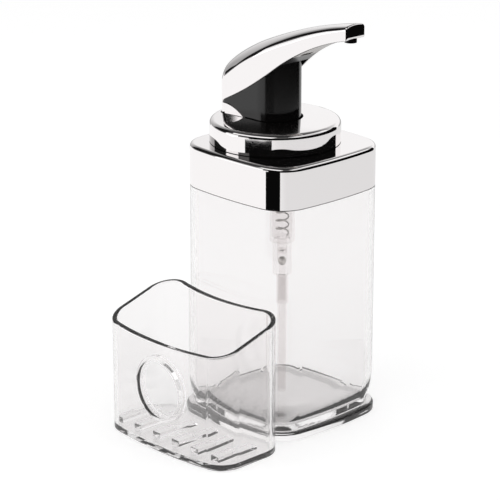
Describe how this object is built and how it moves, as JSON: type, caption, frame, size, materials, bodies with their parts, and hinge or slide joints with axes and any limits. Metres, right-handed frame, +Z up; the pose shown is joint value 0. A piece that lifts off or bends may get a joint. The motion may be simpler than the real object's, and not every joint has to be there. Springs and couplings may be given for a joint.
{
  "type": "soap_pump_caddy",
  "caption": "Countertop soap pump: clear bowed-square bottle with a chrome lid and arched pump head, beside a clear caddy cup with a sloping rim and a round hole",
  "frame": {"origin": "on the table, under the middle of the bottle's base", "axes": "+Z up, +X the way the spout points, -Y the side where the caddy stands"},
  "size_m": [0.0954, 0.1298, 0.2173],
  "materials": {
    "clear_plastic": "clear moulded acrylic, polished",
    "chrome_plating": "bright chrome plating on plastic",
    "black_plastic": "glossy black moulding",
    "milky_plastic": "natural, slightly see-through polypropylene",
    "tube_plastic": "natural polyethylene tube",
    "stainless_steel": "drawn stainless steel",
    "seal_rubber": "grey silicone rubber"
  },
  "bodies": {
    "bottle_body": {"bottle": "clear_plastic", "bottle_base": "clear_plastic"},
    "caddy_body": {"caddy": "clear_plastic"},
    "lid_body": {"collar_cover": "chrome_plating", "collar_liner": "black_plastic", "lid_seal": "seal_rubber", "cap_cover": "chrome_plating", "cap_guide": "black_plastic", "cap_screws": "stainless_steel", "pump_cylinder": "milky_plastic", "pump_gasket": "seal_rubber", "pump_nut": "milky_plastic", "cylinder_closure": "milky_plastic", "foot_valve": "milky_plastic", "ball_retainer": "milky_plastic", "dip_tube": "tube_plastic", "return_spring": "stainless_steel"},
    "ball_body": {"inlet_ball": "stainless_steel"},
    "head_body": {"head_shell": "chrome_plating", "head_heel": "chrome_plating", "head_core": "black_plastic", "spout_cover": "chrome_plating", "nozzle": "black_plastic", "delivery_tube": "milky_plastic", "pump_stem": "milky_plastic", "piston": "milky_plastic"}
  },
  "joints": [
    {"name": "lid_lift", "type": "slide", "parent": "bottle_body", "child": "lid_body", "axis": [0, 0, 1], "range_m": [0, 0.14]},
    {"name": "head_press", "type": "slide", "parent": "lid_body", "child": "head_body", "axis": [0, 0, -1], "range_m": [0, 0.013], "stiffness_N_per_m": 350, "springref_m": -0.02, "deforming": ["return_spring"]},
    {"name": "ball_rise", "type": "slide", "parent": "lid_body", "child": "ball_body", "axis": [0, 0, 1], "range_m": [0, 0.002]},
    {"name": "caddy_lift", "type": "slide", "parent": "bottle_body", "child": "caddy_body", "axis": [0, 0, 1], "range_m": [0, 0.1]}
  ]
}
